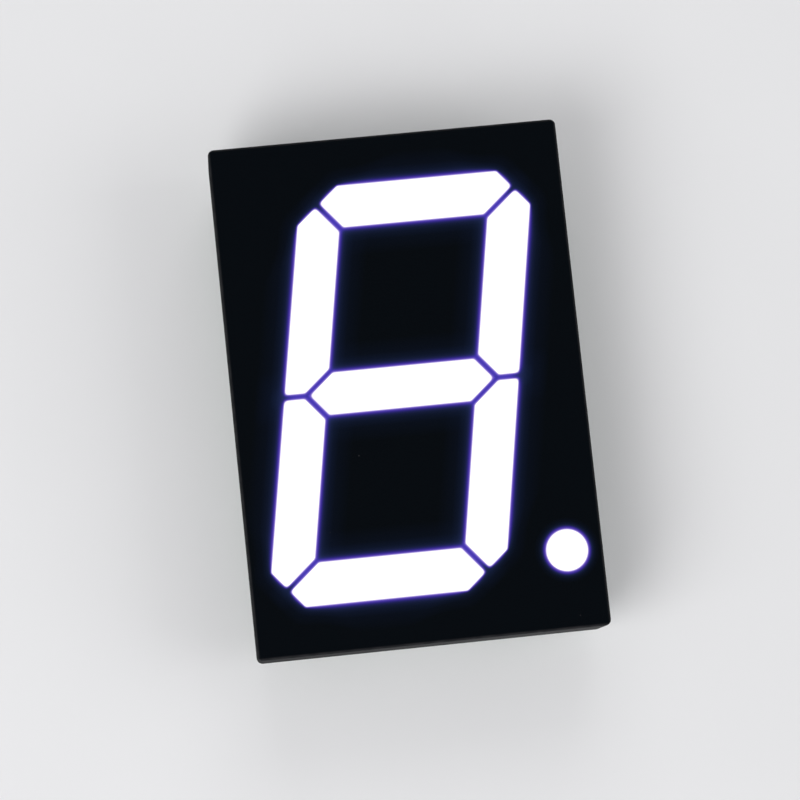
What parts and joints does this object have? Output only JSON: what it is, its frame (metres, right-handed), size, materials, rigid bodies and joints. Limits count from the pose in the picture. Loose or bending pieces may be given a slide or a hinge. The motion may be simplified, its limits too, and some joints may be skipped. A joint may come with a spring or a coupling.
{
  "type": "seven segment display",
  "caption": "Seven segment display with a decimal point: lit white bars flush with the black face of a slim housing, and rows of solder pins behind it.",
  "frame": {"origin": "middle of the pin pattern, in the seat plane of the housing's rear rim", "axes": "+Z out of the lit face, +Y to the top of the figure, +X to the side of the decimal point; it lies face up on its pins"},
  "size_m": [0.048, 0.07, 0.017],
  "materials": {
    "white_moulding": "fine satin moulded plastic",
    "black_coat": "matt black coat",
    "lit_resin": "milky cast resin, lit from behind",
    "masked_board": "green solder mask on glass laminate",
    "masked_copper": "copper under green solder mask, tinned at the pads",
    "bare_copper": "bare copper",
    "led_package": "yellow phosphor lens on a white base",
    "tinned_pin": "bright tin plating",
    "solder": "satin solder"
  },
  "bodies": {
    "root": {"housing": "white_moulding", "black_coat": "black_coat", "segment_a": "lit_resin", "segment_b": "lit_resin", "segment_c": "lit_resin", "segment_d": "lit_resin", "segment_e": "lit_resin", "segment_f": "lit_resin", "segment_g": "lit_resin", "decimal_point": "lit_resin", "circuit_board": "masked_board", "front_copper": "bare_copper", "back_copper": "masked_copper", "leds_a": "led_package", "leds_b": "led_package", "leds_c": "led_package", "leds_d": "led_package", "leds_e": "led_package", "leds_f": "led_package", "leds_g": "led_package", "leds_point": "led_package", "pin_1": "tinned_pin", "pin_2": "tinned_pin", "pin_3": "tinned_pin", "pin_4": "tinned_pin", "pin_5": "tinned_pin", "pin_6": "tinned_pin", "pin_7": "tinned_pin", "pin_8": "tinned_pin", "pin_9": "tinned_pin", "pin_10": "tinned_pin", "solder_joints": "solder"}
  },
  "joints": []
}
